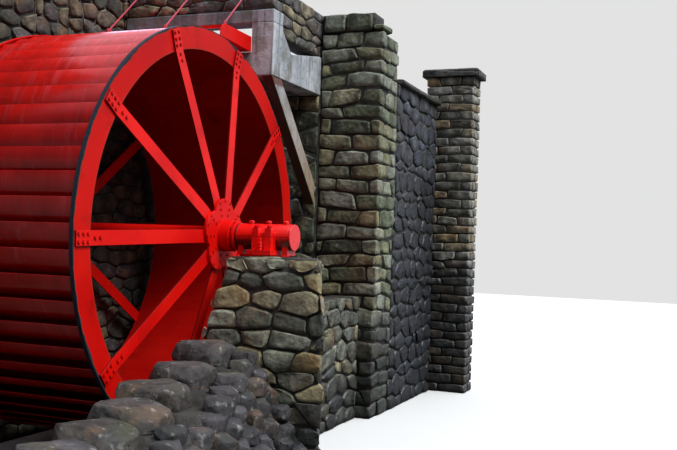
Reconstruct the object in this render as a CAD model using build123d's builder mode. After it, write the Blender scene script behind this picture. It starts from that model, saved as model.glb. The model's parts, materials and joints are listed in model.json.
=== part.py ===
from build123d import *

import os
from math import cos, degrees, radians, sin, sqrt

# Wheel side of a stone watermill. Millimetres, +Z up. The frame's origin is on the ground, at the middle of
# the building's box. Sizes are read from the axle line: x outboard from the wheel's near face, y away from
# the near end and towards the dam, z up from the axle.

# Wheel
wheel_radius = 2745
wheel_width = 2390
shroud_depth = 297
shroud_plate = 12
rim_flange_width = 50
rim_flange_thickness = 12
ring_sides = 120
sole_thickness = 12
bucket_count = 60
bucket_plate = 10
bucket_elbow_height = 140
bucket_bend_height = 228
bucket_lip_inset = 8
bucket_elbow_angle = 1.2
bucket_bend_angle = 4.1
bucket_lip_angle = 7.4
fit_gap = 0.3

# Spokes and hubs
spoke_count = 10
spoke_width = 170
spoke_thickness = 25
spoke_first_angle = 2
spoke_end_inset = 30
near_dish = 230
far_dish = 75
lobe_count = 5
lobe_radius = 250
lobe_centre_radius = 240
lobe_first_angle = 20
hub_plate = 45
spoke_root_radius = 330
spoke_knee_radius = 520
hub_barrel_radius = 205
near_barrel_length = 160
far_barrel_length = 190
hub_groove_radius = 155
hub_groove_length = 25
collar_radius = 190
collar_length = 40
hub_bore_gap = 0.3

# Axle and bearings
axle_radius = 120
axle_stub_radius = 100
axle_stub_length = 350
collar_to_shell = 20
shell_radius = 170
shell_length = 750
shell_bore_gap = 1
end_cover_thickness = 30
axle_end_gap = 20
saddle_offset = 265
saddle_length = 310
saddle_half_width = 185
saddle_cap_rise = 60
column_width = 90
column_depth = 85
column_inset = 20
column_rise = 110
bearing_foot_half_width = 330
bearing_foot_overhang = 20
bearing_foot_thickness = 60
end_foot_length = 80
end_foot_half_width = 120
end_foot_inset = 15
inner_bearing_rise = 160
inner_bearing_chamfer = 70

# Masonry
pit_clearance = 205
wheel_wall_gap = 240
mill_wall_thickness = 600
mill_wall_top = 4250
near_run = 4200
axle_opening = 700
dam_thickness = 940
tower_width = 1160
tower_top = 3880
tower_shoulder_width = 230
tower_shoulder_drop = 190
tower_back_width = 560
tower_back_depth = 420
tower_back_drop = 330
crest_length = 2600
spillway_thickness = 1000
spillway_top = 2800
crest_thickness = 100
crest_overhang = 50
crest_round = 45
pillar_width = 1000
pillar_offset = 700
pillar_depth = 650
pillar_top = 3400
cap_overhang = 40
cap_side_overhang = 100
cap_thickness = 180
cap_chamfer = 45
pier_inner = 300
pier_width = 1800
pier_half_depth = 640
pier_top = -230
pier_knee = -1270
pier_inner_batter = 275
pier_outer_batter = 220
pier_near_batter = 140
pier_corner_depth = 390
pier_corner_width = 480
pit_wall_inner = 350
pit_wall_thickness = 600
pit_wall_top = -900
tailrace_inner = 220
tailrace_top_outer = 1050
tailrace_high = -1270
tailrace_low = -1930
boulder_count = 6
boulder_shoulder = 110

# Flume and chute
chute_wheel_gap = 105
flume_floor_thickness = 370
flume_corner_gap = 290
flume_reach = 1820
flume_post_width = 370
flume_mouth_height = 450
lintel_depth = 350
lintel_height = 200
parapet_height = 400
brace_width = 170
brace_inset = 10
brace_depth = 250
brace_foot_drop = 1890
chute_plate = 10
chute_reach = 960
chute_lip_rise = 40
chute_side_height = 230
chute_inner_gap = 190
chute_nose_height = 195
chute_nose_length = 160
chute_nose_bulge = 45
chute_bar = 40
rod_radius = 13
rod_lug_length = 90
rod_lug_height = 55
rod_lug_thickness = 20
rod_plate = 90
rod_plate_thickness = 12
rod_rise = 765
rod_inset = 40
stone_foot_drop = 70
stone_foot_run = 680
stone_foot_low = 80
stone_foot_high = 280
brace_head_offset = 20

# Worked-out places
axle_height = wheel_radius + pit_clearance
ground = -axle_height
mill_face = -wheel_width - wheel_wall_gap
mill_back = mill_face - mill_wall_thickness
axle_inner_end = mill_back - axle_stub_length
flume_floor_top = wheel_radius + chute_wheel_gap
flume_floor_bottom = flume_floor_top - flume_floor_thickness
flume_front = sqrt((wheel_radius + flume_corner_gap) ** 2 - flume_floor_bottom**2)
flume_side = 40
post_inner = flume_side - flume_post_width
lintel_bottom = flume_floor_top + flume_mouth_height
lintel_top = lintel_bottom + lintel_height
parapet_top = lintel_top + parapet_height
dam_face = flume_front + flume_reach
dam_back = dam_face + dam_thickness
tower_side = flume_side + tower_width
spillway_end = dam_back + crest_length
pillar_back = spillway_end + pillar_depth
pier_foot = pier_inner + pier_width
far_run = pillar_back + cap_overhang
sole_radius = wheel_radius - shroud_depth + sole_thickness
near_plate_start = near_dish + spoke_thickness
near_barrel_end = near_plate_start + hub_plate + near_barrel_length
near_collar_end = near_barrel_end + hub_groove_length + collar_length
shell_start = near_collar_end + collar_to_shell
shell_end = shell_start + shell_length

# The wheel's near face and axle, seen from the origin
wheel_x = -(axle_inner_end + pier_foot) / 2
axle_y = (near_run - far_run) / 2


def cross_section(x):
    """Plane across the axle at x: its own x runs towards the dam and its own y runs up."""
    return Plane(origin=(wheel_x + x, axle_y, axle_height), x_dir=(0, 1, 0), z_dir=(1, 0, 0))


def level(z):
    """Level plane at z above the axle: its own x runs outboard and its own y runs towards the dam."""
    return Plane(origin=(wheel_x, axle_y, axle_height + z), x_dir=(1, 0, 0), z_dir=(0, 0, 1))


def upright(y):
    """Upright plane at y, facing the near end: its own x runs outboard and its own y runs up."""
    return Plane(origin=(wheel_x, axle_y + y, axle_height), x_dir=(1, 0, 0), z_dir=(0, -1, 0))


def polar(radius, angle):
    return (radius * cos(radians(angle)), radius * sin(radians(angle)))


def write(part, name):
    part.label = name
    export_step(part, f"parts/{name}.step")


def block(name, x, y, z):
    """Rectangular mass of masonry or concrete between pairs of x, y and z."""
    with BuildPart() as mass:
        with BuildSketch(level(z[0])):
            with Locations(((x[0] + x[1]) / 2, (y[0] + y[1]) / 2)):
                Rectangle(x[1] - x[0], y[1] - y[0])
        extrude(amount=z[1] - z[0])
    write(mass.part, name)


os.makedirs("parts", exist_ok=True)

# Mill wall, with the opening that the axle passes through
half_opening = axle_opening / 2
mill_x = (mill_back, mill_face)
block("mill_wall_near", mill_x, (-near_run, -half_opening), (ground, mill_wall_top))
block("mill_wall_far", mill_x, (half_opening, dam_back), (ground, mill_wall_top))
block("mill_wall_over_axle", mill_x, (-half_opening, half_opening), (half_opening, mill_wall_top))
block("mill_wall_under_axle", mill_x, (-half_opening, half_opening), (ground, -half_opening))

# Dam, tower, spillway and pillar
block("dam_wall", (mill_face, flume_side), (dam_face, dam_back), (ground, flume_floor_bottom))
with BuildPart() as tower:
    with BuildSketch(cross_section(flume_side)):
        with BuildLine():
            Polyline(
                (dam_face, ground),
                (dam_back, ground),
                (dam_back, tower_top),
                (dam_face, tower_top),
                close=True,
            )
        make_face()
    extrude(amount=tower_width)
    # The uppermost courses are missing along the outboard side, and more of them at the back
    with BuildSketch(level(tower_top - tower_shoulder_drop)):
        with Locations((tower_side, (dam_face + dam_back) / 2)):
            Rectangle(2 * tower_shoulder_width, 2 * dam_thickness)
    extrude(amount=tower_shoulder_drop, mode=Mode.SUBTRACT)
    with BuildSketch(level(tower_top - tower_back_drop)):
        with Locations((tower_side, dam_back)):
            Rectangle(2 * tower_back_width, 2 * tower_back_depth)
    extrude(amount=tower_back_drop, mode=Mode.SUBTRACT)
write(tower.part, "tower")
block(
    "spillway_wall",
    (tower_side - spillway_thickness, tower_side),
    (dam_back, spillway_end),
    (ground, spillway_top),
)
with BuildPart() as spillway_crest:
    with BuildSketch(upright(dam_back)):
        with BuildLine():
            crest_lip = tower_side + crest_overhang
            crest_top = spillway_top + crest_thickness
            round_start = (crest_lip, crest_top - crest_round)
            round_end = (crest_lip - crest_round, crest_top)
            Polyline(
                round_end,
                (tower_side - spillway_thickness, crest_top),
                (tower_side - spillway_thickness, spillway_top),
                (crest_lip, spillway_top),
                round_start,
            )
            RadiusArc(round_start, round_end, -crest_round)
        make_face()
    extrude(amount=-crest_length)
write(spillway_crest.part, "spillway_crest")
pillar_side = tower_side + pillar_offset
block(
    "spillway_pillar",
    (pillar_side - pillar_width, pillar_side),
    (spillway_end, pillar_back),
    (ground, pillar_top),
)
with BuildPart() as pillar_cap:
    with BuildSketch(level(pillar_top)):
        with Locations((pillar_side - pillar_width / 2, (spillway_end + pillar_back) / 2)):
            Rectangle(pillar_width + 2 * cap_side_overhang, pillar_depth + 2 * cap_overhang)
    extrude(amount=cap_thickness)
    chamfer(pillar_cap.faces().sort_by(Axis.Z)[-1].edges(), length=cap_chamfer)
write(pillar_cap.part, "pillar_cap")

# Bearing pier: battered above its knee on the wheel side, the outboard side and the near side, with the
# outboard corner on the dam side cut off
pier_rise = pier_top - pier_knee
inner_batter = Plane(
    origin=(wheel_x + pier_inner, axle_y, axle_height + pier_knee),
    x_dir=(0, 1, 0),
    z_dir=(-pier_rise, 0, pier_inner_batter),
)
outer_batter = Plane(
    origin=(wheel_x + pier_foot, axle_y, axle_height + pier_knee),
    x_dir=(0, 1, 0),
    z_dir=(pier_rise, 0, pier_outer_batter),
)
near_batter = Plane(
    origin=(wheel_x, axle_y - pier_half_depth, axle_height + pier_knee),
    x_dir=(1, 0, 0),
    z_dir=(0, -pier_rise, pier_near_batter),
)
outer_corner = Plane(
    origin=(wheel_x + pier_foot - pier_outer_batter, axle_y - pier_half_depth + pier_corner_depth, 0),
    x_dir=(0, 0, 1),
    z_dir=(2 * pier_half_depth - pier_corner_depth, pier_corner_width, 0),
)
with BuildPart() as bearing_pier:
    with BuildSketch(level(ground)):
        with Locations((pier_inner + pier_width / 2, 0)):
            Rectangle(pier_width, 2 * pier_half_depth)
    extrude(amount=pier_top - ground)
    for cut in (inner_batter, outer_batter, near_batter, outer_corner):
        split(bisect_by=cut, keep=Keep.BOTTOM)
write(bearing_pier.part, "bearing_pier")

# Pit wall between the pier and the dam
block(
    "pit_wall",
    (pit_wall_inner, pit_wall_inner + pit_wall_thickness),
    (pier_half_depth, dam_face),
    (ground, pit_wall_top),
)

# Tailrace wall: a row of boulders descends from the pier to the near end, over a sloping outboard face
boulder_length = (near_run - pier_half_depth) / boulder_count
boulder_steps = [(index / (boulder_count - 1)) ** 0.75 for index in range(boulder_count)]
boulder_tops = [tailrace_high + (tailrace_low - tailrace_high) * step for step in boulder_steps]
tailrace_slope = Plane(
    origin=(wheel_x + tailrace_top_outer, axle_y, axle_height + tailrace_high),
    x_dir=(0, 1, 0),
    z_dir=(tailrace_high - ground, 0, pier_foot - tailrace_top_outer),
)
with BuildPart() as tailrace_wall:
    with BuildSketch(cross_section(tailrace_inner)):
        with BuildLine():
            corner = (-pier_half_depth, ground)
            for index, height in enumerate(boulder_tops):
                start = -pier_half_depth - index * boulder_length
                first = (start, height - boulder_shoulder)
                last = (start - boulder_length, height - boulder_shoulder)
                Line(corner, first)
                ThreePointArc(first, (start - boulder_length / 2, height), last)
                corner = last
            Polyline(corner, (-near_run, ground), (-pier_half_depth, ground))
        make_face()
    extrude(amount=pier_foot - tailrace_inner)
    split(bisect_by=tailrace_slope, keep=Keep.BOTTOM)
write(tailrace_wall.part, "tailrace_wall")

# Flume: floor slab, side wall, lintel over the mouth, and stone parapets
block("flume_floor", (mill_face, post_inner), (flume_front, dam_back), (flume_floor_bottom, flume_floor_top))
lintel_back = flume_front + lintel_depth
stone_foot = [
    (lintel_back, lintel_bottom - stone_foot_drop),
    (flume_front + stone_foot_run, flume_floor_top + stone_foot_low),
    (dam_face, flume_floor_top + stone_foot_high),
    (dam_back, flume_floor_top + stone_foot_high),
]
with BuildPart() as flume_side_wall:
    with BuildSketch(cross_section(post_inner)):
        with BuildLine():
            Polyline(
                (flume_front, lintel_bottom),
                (lintel_back, lintel_bottom),
                *stone_foot,
                (dam_back, flume_floor_bottom),
                (flume_front, flume_floor_bottom),
                close=True,
            )
        make_face()
    extrude(amount=flume_post_width)
write(flume_side_wall.part, "flume_side_wall")
with BuildPart() as flume_side_parapet:
    with BuildSketch(cross_section(post_inner)):
        with BuildLine():
            Polyline(*stone_foot, (dam_back, parapet_top), (lintel_back, parapet_top), close=True)
        make_face()
    extrude(amount=flume_post_width)
write(flume_side_parapet.part, "flume_side_parapet")
block("flume_lintel", (mill_face, flume_side), (flume_front, lintel_back), (lintel_bottom, lintel_top))
block("flume_front_parapet", (mill_face, flume_side), (flume_front, lintel_back), (lintel_top, parapet_top))

# Inclined brace from the flume's soffit down to the dam
brace_top = flume_front + brace_head_offset
brace_slope = brace_foot_drop / (dam_face - brace_top)
brace_face = brace_depth * sqrt(1 + brace_slope**2)
with BuildPart() as flume_brace:
    with BuildSketch(cross_section(flume_side - brace_inset - brace_width)):
        with BuildLine():
            Polyline(
                (brace_top, flume_floor_bottom),
                (brace_top + brace_face / brace_slope, flume_floor_bottom),
                (dam_face, flume_floor_bottom - brace_foot_drop + brace_face),
                (dam_face, flume_floor_bottom - brace_foot_drop),
                close=True,
            )
        make_face()
    extrude(amount=brace_width)
write(flume_brace.part, "flume_brace")

# Chute: a folded trough with a bar across its lip, hung by three rods
chute_near = post_inner
chute_far = mill_face + chute_inner_gap
chute_width = chute_near - chute_far
lip_y = flume_front - chute_reach
lip_z = flume_floor_top + chute_lip_rise
nose_top = (lip_y + chute_nose_length, lip_z + chute_nose_height)
nose_middle = (
    lip_y + chute_nose_length / 2 - chute_nose_bulge,
    lip_z + chute_nose_height / 2 + chute_nose_bulge,
)
with BuildPart() as chute:
    with BuildSketch(cross_section(chute_far)):
        with BuildLine():
            ThreePointArc((lip_y, lip_z), nose_middle, nose_top)
            Polyline(
                nose_top,
                (flume_front, flume_floor_top + chute_side_height),
                (flume_front, flume_floor_top),
                (lip_y, lip_z),
            )
        make_face()
    extrude(amount=chute_width)
    with BuildSketch(cross_section(chute_far + chute_plate)):
        with BuildLine():
            Polyline(
                (flume_front, flume_floor_top + chute_plate),
                (lip_y - chute_plate, lip_z + chute_plate),
                (lip_y - chute_plate, lip_z + 2 * chute_side_height),
                (flume_front, lip_z + 2 * chute_side_height),
                close=True,
            )
        make_face()
    extrude(amount=chute_width - 2 * chute_plate, mode=Mode.SUBTRACT)
    with BuildSketch(cross_section(chute_far)):
        with Locations((nose_top[0] + chute_bar / 2, nose_top[1] - chute_bar / 2)):
            Rectangle(chute_bar, chute_bar)
    extrude(amount=chute_width)
write(chute.part, "chute")

# Each rod runs from a lug on the chute's bar to a lug on its wall plate
rod_foot = Vector(0, nose_top[0] + chute_bar / 2, nose_top[1])
rod_head = Vector(0, flume_front, nose_top[1] + rod_rise)
rod_start = rod_foot + Vector(0, 0, rod_lug_height / 2)
rod_run = rod_head - rod_start
rod_places = {
    "chute_rod_near": chute_near - rod_inset,
    "chute_rod_middle": (chute_near + chute_far) / 2,
    "chute_rod_far": chute_far + rod_inset,
}
for rod_name, rod_x in rod_places.items():
    middle = Vector(wheel_x + rod_x, axle_y, axle_height)
    with BuildPart() as chute_rod:
        with BuildSketch(Plane(origin=middle + rod_start, x_dir=(1, 0, 0), z_dir=rod_run)):
            Circle(rod_radius)
        extrude(amount=rod_run.length - rod_plate_thickness - rod_radius)
        with BuildSketch(upright(rod_head.Y)):
            with Locations((rod_x, rod_head.Z)):
                Rectangle(rod_plate, rod_plate)
        extrude(amount=rod_plate_thickness)
        with BuildSketch(cross_section(rod_x - rod_lug_thickness / 2)) as lugs:
            with Locations((rod_foot.Y, rod_foot.Z + rod_lug_height / 2)):
                Rectangle(rod_lug_length, rod_lug_height)
            with Locations((rod_head.Y - rod_plate_thickness - rod_lug_height / 2, rod_head.Z)):
                Rectangle(rod_lug_height, rod_lug_height)
        extrude(lugs.sketch, amount=rod_lug_thickness)
    write(chute_rod.part, rod_name)

# Outer bearing: lower shell with its saddle and feet, upper shell with its studs, and the end cover
saddle_start = shell_start + saddle_offset
shell_bore = axle_radius + shell_bore_gap


def shell_half(above):
    """Half of the tube around the axle's outer end."""
    with BuildSketch(cross_section(shell_start)) as half_ring:
        Circle(shell_radius)
        Circle(shell_bore, mode=Mode.SUBTRACT)
        Rectangle(
            2 * shell_radius,
            shell_radius,
            align=(Align.CENTER, Align.MAX if above else Align.MIN),
            mode=Mode.SUBTRACT,
        )
    extrude(half_ring.sketch, amount=shell_length)


column_centre = saddle_half_width + column_depth / 2 - column_inset
column_places = [
    (saddle_start + offset, side * column_centre)
    for offset in (column_inset + column_width / 2, saddle_length - column_inset - column_width / 2)
    for side in (-1, 1)
]


def columns(bottom, top):
    """Four upright bolt columns at the saddle's corners."""
    with BuildSketch(level(bottom)) as corners:
        with Locations(*column_places):
            Rectangle(column_width, column_depth)
    extrude(corners.sketch, amount=top - bottom)


with BuildPart() as bearing_base:
    shell_half(above=False)
    columns(pier_top, 0)
    with BuildSketch(cross_section(saddle_start)):
        Rectangle(2 * saddle_half_width, -pier_top, align=(Align.CENTER, Align.MAX))
        Circle(shell_bore, mode=Mode.SUBTRACT)
    extrude(amount=saddle_length)
    with BuildSketch(cross_section(saddle_start - bearing_foot_overhang)):
        with Locations((0, pier_top)):
            Rectangle(2 * bearing_foot_half_width, bearing_foot_thickness, align=(Align.CENTER, Align.MIN))
    extrude(amount=saddle_length + 2 * bearing_foot_overhang)
    for foot_start in (shell_start + end_foot_inset, shell_end - end_foot_inset - end_foot_length):
        with BuildSketch(cross_section(foot_start)):
            Rectangle(2 * end_foot_half_width, -pier_top, align=(Align.CENTER, Align.MAX))
            Circle(shell_bore, mode=Mode.SUBTRACT)
        extrude(amount=end_foot_length)
write(bearing_base.part, "bearing_base")

with BuildPart() as bearing_cap:
    shell_half(above=True)
    with BuildSketch(cross_section(saddle_start)):
        Rectangle(2 * saddle_half_width, saddle_cap_rise, align=(Align.CENTER, Align.MIN))
        Circle(shell_bore, mode=Mode.SUBTRACT)
    extrude(amount=saddle_length)
    columns(0, column_rise)
write(bearing_cap.part, "bearing_cap")

with BuildPart() as bearing_end_cover:
    with BuildSketch(cross_section(shell_end)):
        Circle(shell_radius)
    extrude(amount=end_cover_thickness)
write(bearing_end_cover.part, "bearing_end_cover")

# Inner bearing, on the sill of the axle's opening
with BuildPart() as inner_bearing:
    with BuildSketch(cross_section(mill_back + mill_wall_thickness / 3)):
        with BuildLine():
            Polyline(
                (-saddle_half_width, -half_opening),
                (-saddle_half_width, inner_bearing_rise - inner_bearing_chamfer),
                (inner_bearing_chamfer - saddle_half_width, inner_bearing_rise),
                (saddle_half_width - inner_bearing_chamfer, inner_bearing_rise),
                (saddle_half_width, inner_bearing_rise - inner_bearing_chamfer),
                (saddle_half_width, -half_opening),
                close=True,
            )
        make_face()
        Circle(shell_bore, mode=Mode.SUBTRACT)
    extrude(amount=mill_wall_thickness / 3)
write(inner_bearing.part, "inner_bearing")

# Axle, from inside the mill to the end cover, turned down where the mill's gearing sits
with BuildPart() as axle:
    with BuildSketch(cross_section(mill_back)):
        Circle(axle_radius)
    extrude(amount=shell_end - axle_end_gap - mill_back)
    with BuildSketch(cross_section(axle_inner_end)):
        Circle(axle_stub_radius)
    extrude(amount=axle_stub_length)
write(axle.part, "axle")


def hub_plate_outline():
    """Five-lobed plate: a round lobe for each pair of spokes."""
    with PolarLocations(lobe_centre_radius, lobe_count, start_angle=lobe_first_angle):
        Circle(lobe_radius)
    Circle(axle_radius + hub_bore_gap, mode=Mode.SUBTRACT)


def tube(start, length, radius):
    """Tube around the axle."""
    with BuildSketch(cross_section(start)) as ring:
        Circle(radius)
        Circle(axle_radius + hub_bore_gap, mode=Mode.SUBTRACT)
    extrude(ring.sketch, amount=length)


with BuildPart() as near_hub:
    with BuildSketch(cross_section(near_plate_start)):
        hub_plate_outline()
    extrude(amount=hub_plate)
    tube(near_plate_start + hub_plate, near_barrel_length, hub_barrel_radius)
    tube(near_barrel_end, hub_groove_length, hub_groove_radius)
    tube(near_barrel_end + hub_groove_length, collar_length, collar_radius)
write(near_hub.part, "near_hub")

far_plate_end = -wheel_width - far_dish - spoke_thickness
with BuildPart() as far_hub:
    with BuildSketch(cross_section(far_plate_end - hub_plate)):
        hub_plate_outline()
    extrude(amount=hub_plate)
    tube(far_plate_end, far_barrel_length, hub_barrel_radius)
write(far_hub.part, "far_hub")


def spokes(face, side, dish):
    """Ten flat bars on a shroud's face, dished out to the hub plate; side is 1 outboard and -1 inboard."""
    tip = wheel_radius - spoke_end_inset
    seat = wheel_radius - shroud_depth
    for index in range(spoke_count):
        angle = spoke_first_angle + index * 360 / spoke_count
        along = Vector(0, cos(radians(angle)), sin(radians(angle)))
        across = Vector(0, -sin(radians(angle)), cos(radians(angle)))
        middle = Vector(wheel_x + face, axle_y, axle_height) + across * (spoke_width / 2)
        with BuildSketch(Plane(origin=middle, x_dir=along, z_dir=-across)) as bar:
            with BuildLine():
                inner = [(tip, 0), (seat, 0), (spoke_knee_radius, dish), (spoke_root_radius, dish)]
                outer = [(radius, offset + spoke_thickness) for radius, offset in reversed(inner)]
                Polyline(*[(radius, side * offset) for radius, offset in inner + outer], close=True)
            make_face()
        extrude(bar.sketch, amount=spoke_width)


with BuildPart() as near_spokes:
    spokes(0, 1, near_dish)
write(near_spokes.part, "near_spokes")
with BuildPart() as far_spokes:
    spokes(-wheel_width, -1, far_dish)
write(far_spokes.part, "far_spokes")


def shroud(face, inward):
    """Ring plate with a flange around its rim, turned inward from the outer face."""
    inner_radius = wheel_radius - shroud_depth
    with BuildSketch(cross_section(face)) as plate:
        RegularPolygon(wheel_radius, ring_sides)
        RegularPolygon(inner_radius, ring_sides, mode=Mode.SUBTRACT)
    extrude(plate.sketch, amount=inward * shroud_plate)
    with BuildSketch(cross_section(face)) as flange:
        RegularPolygon(wheel_radius, ring_sides)
        RegularPolygon(wheel_radius - rim_flange_thickness, ring_sides, mode=Mode.SUBTRACT)
    extrude(flange.sketch, amount=inward * rim_flange_width)


with BuildPart() as near_shroud:
    shroud(0, -1)
write(near_shroud.part, "near_shroud")
with BuildPart() as far_shroud:
    shroud(-wheel_width, 1)
write(far_shroud.part, "far_shroud")

# Sole: the closed drum behind the buckets, one flat strip to each bucket
drum_length = wheel_width - 2 * shroud_plate
with BuildPart() as sole_plate:
    with BuildSketch(cross_section(-wheel_width + shroud_plate)):
        RegularPolygon(sole_radius, bucket_count)
        RegularPolygon(sole_radius - sole_thickness, bucket_count, mode=Mode.SUBTRACT)
    extrude(amount=drum_length)
write(sole_plate.part, "sole_plate")

# Buckets: plates folded twice that lap over each other, each rising from the sole
root_radius = sole_radius + fit_gap
elbow_radius = sole_radius + bucket_elbow_height
lip_radius = wheel_radius - rim_flange_thickness - bucket_lip_inset
bend_radius = sole_radius + bucket_bend_height
root_turn = degrees(bucket_plate / root_radius)
with BuildPart() as buckets:
    for index in range(bucket_count):
        start = index * 360 / bucket_count
        with BuildSketch(cross_section(-wheel_width + shroud_plate)):
            with BuildLine():
                Polyline(
                    polar(root_radius, start),
                    polar(elbow_radius, start - bucket_elbow_angle),
                    polar(bend_radius, start - bucket_bend_angle),
                    polar(lip_radius, start - bucket_lip_angle),
                    polar(lip_radius - bucket_plate, start - bucket_lip_angle),
                    polar(bend_radius - bucket_plate, start - bucket_bend_angle),
                    polar(elbow_radius - bucket_plate, start - bucket_elbow_angle - root_turn),
                    polar(root_radius, start - root_turn),
                    close=True,
                )
            make_face()
        extrude(amount=drum_length)
write(buckets.part, "buckets")
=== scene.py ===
import json
import math
import random

import bmesh
import bpy
from mathutils import Matrix, Vector, noise


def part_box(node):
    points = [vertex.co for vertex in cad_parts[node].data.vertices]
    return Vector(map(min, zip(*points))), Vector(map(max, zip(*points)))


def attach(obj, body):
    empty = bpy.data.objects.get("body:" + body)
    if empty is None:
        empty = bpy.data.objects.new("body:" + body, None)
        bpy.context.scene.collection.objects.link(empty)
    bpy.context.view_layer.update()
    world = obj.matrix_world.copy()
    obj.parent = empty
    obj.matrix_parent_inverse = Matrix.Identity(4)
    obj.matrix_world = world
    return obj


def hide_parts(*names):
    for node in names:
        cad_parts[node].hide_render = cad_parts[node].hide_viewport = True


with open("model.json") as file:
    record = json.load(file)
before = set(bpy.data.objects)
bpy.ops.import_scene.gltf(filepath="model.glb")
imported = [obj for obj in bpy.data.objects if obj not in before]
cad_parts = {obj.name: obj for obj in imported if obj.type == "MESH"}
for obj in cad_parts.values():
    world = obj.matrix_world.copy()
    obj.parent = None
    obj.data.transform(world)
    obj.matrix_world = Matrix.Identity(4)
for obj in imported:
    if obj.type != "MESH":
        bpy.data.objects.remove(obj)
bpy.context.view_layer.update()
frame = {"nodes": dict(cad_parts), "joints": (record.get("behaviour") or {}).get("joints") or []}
nodes = frame["nodes"]
axle = Vector(frame["joints"][0]["pos_m"])
axle_x, axle_z = axle.x, axle.z


# View
# The camera stands outboard of the wheel, 12 m from its hub and level with its axle, and leans 2 degrees.
# The floor and the background are plain and pale. A broad soft sun lights the front, and a soft panel, high
# behind the mill wall, puts a sheen on the top of the drum.
camera_from_wheel = Vector((6.124, -10.526, -0.049))
turn, rise, lean = math.radians(21.777), math.radians(1.166), math.radians(2.03)
camera = bpy.data.objects.new("camera", bpy.data.cameras.new("camera"))
camera.data.lens = 47.85
camera.location = axle + camera_from_wheel
raised = Matrix.Rotation(turn, 3, "Z") @ Matrix.Rotation(math.pi / 2 + rise, 3, "X")
camera.rotation_euler = (raised @ Matrix.Rotation(lean, 3, "Z")).to_euler()
bpy.context.scene.collection.objects.link(camera)
bpy.context.scene.camera = camera
bpy.context.scene.view_settings.view_transform = "Standard"


def linear(red, green, blue):
    """A colour given as 0 to 255 on a screen, as the linear values that a shader takes."""
    def channel(value):
        share = value / 255
        return share / 12.92 if share <= 0.04045 else ((share + 0.055) / 1.055) ** 2.4
    return (channel(red), channel(green), channel(blue), 1.0)


def add(tree, kind, sources=None, **settings):
    """A new node of a tree, with its settings and its inputs, and its first output."""
    made = tree.nodes.new(kind)
    for name, value in settings.items():
        setattr(made, name, value)
    for key, value in (sources or {}).items():
        if isinstance(value, bpy.types.NodeSocket):
            tree.links.new(value, made.inputs[key])
        else:
            made.inputs[key].default_value = value
    return made.outputs[0]


def sums(tree, operation, first, second=0.0, clamp=False):
    return add(tree, "ShaderNodeMath", {0: first, 1: second}, operation=operation, use_clamp=clamp)


def spread(tree, value, low, high, to_low=0.0, to_high=1.0):
    """A value's run from low to high, stretched to another run and held at its ends."""
    return add(tree, "ShaderNodeMapRange", {0: value, 1: low, 2: high, 3: to_low, 4: to_high})


def separate(tree, vector):
    """The three outputs, X, Y and Z, of a vector."""
    add(tree, "ShaderNodeSeparateXYZ", {0: vector})
    return tree.nodes[-1].outputs


def mixed(tree, share, first, second):
    made = tree.nodes.new("ShaderNodeMix")
    made.data_type = "RGBA"
    for key, value in {0: share, 6: first, 7: second}.items():
        if isinstance(value, bpy.types.NodeSocket):
            tree.links.new(value, made.inputs[key])
        else:
            made.inputs[key].default_value = value
    return made.outputs[2]


def surface(name):
    """A new material: its node tree, its main shader and the object's own coordinates."""
    material = bpy.data.materials.new(name)
    material.use_nodes = True
    tree = material.node_tree
    place = tree.nodes.new("ShaderNodeTexCoord").outputs["Object"]
    return material, tree, tree.nodes["Principled BSDF"], place


floor_mesh = bpy.data.meshes.new("floor")
floor_reach, floor_drop = 45.0, 0.002
floor_corners = [
    (x * floor_reach, y * floor_reach, -floor_drop) for x, y in ((-1, -1), (1, -1), (1, 1), (-1, 1))
]
floor_mesh.from_pydata(floor_corners, [], [(0, 1, 2, 3)])
floor = bpy.data.objects.new("floor", floor_mesh)
bpy.context.scene.collection.objects.link(floor)
pale, pale_tree, pale_shader, _ = surface("pale_floor")
pale_shader.inputs["Roughness"].default_value = 0.9
seen = add(pale_tree, "ShaderNodeLightPath")
floor_lighting, floor_looking = linear(64, 65, 62), linear(212, 213, 210)
pale_tree.links.new(mixed(pale_tree, seen, floor_lighting, floor_looking), pale_shader.inputs["Base Color"])
floor_mesh.materials.append(pale)

world = bpy.data.worlds.new("soft_light")
bpy.context.scene.world = world
world.use_nodes = True
world_tree = world.node_tree
sky_light = world_tree.nodes["Background"]
sky_light.inputs["Color"].default_value = linear(230, 235, 250)
sky_way = separate(world_tree, world_tree.nodes.new("ShaderNodeTexCoord").outputs["Generated"])
sky_lean, sky_dim, sky_bright = 0.5, 0.1, 1.6
sky_height = sums(world_tree, "ADD", sky_way["Z"], sums(world_tree, "MULTIPLY", sky_way["Y"], sky_lean))
sky_strength = spread(world_tree, sky_height, -0.1, 1.0, sky_dim, sky_bright)
world_tree.links.new(sky_strength, sky_light.inputs["Strength"])
backdrop = world_tree.nodes.new("ShaderNodeBackground")
backdrop.inputs["Color"].default_value = linear(226, 227, 226)
seen = add(world_tree, "ShaderNodeLightPath")
chosen = world_tree.nodes.new("ShaderNodeMixShader")
world_tree.links.new(seen, chosen.inputs[0])
world_tree.links.new(sky_light.outputs[0], chosen.inputs[1])
world_tree.links.new(backdrop.outputs[0], chosen.inputs[2])
world_tree.links.new(chosen.outputs[0], world_tree.nodes["World Output"].inputs["Surface"])
sun_way = Vector((0.72, -0.14, 1.0))
sun = bpy.data.objects.new("sun", bpy.data.lights.new("sun", "SUN"))
sun.data.energy = 3.4
sun.data.angle = math.radians(26)
sun.rotation_euler = sun_way.to_track_quat("Z", "Y").to_euler()
bpy.context.scene.collection.objects.link(sun)
panel_aim, panel_way, panel_reach = Vector((-0.5, -0.9, 2.6)), Vector((-0.537, 0.718, 0.46)), 13.0
panel = bpy.data.objects.new("soft_panel", bpy.data.lights.new("soft_panel", "AREA"))
panel.data.size = 6.0
panel.data.energy = 750.0
panel.data.color = linear(226, 214, 255)[:3]
panel.location = axle + panel_aim + panel_way * panel_reach
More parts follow.
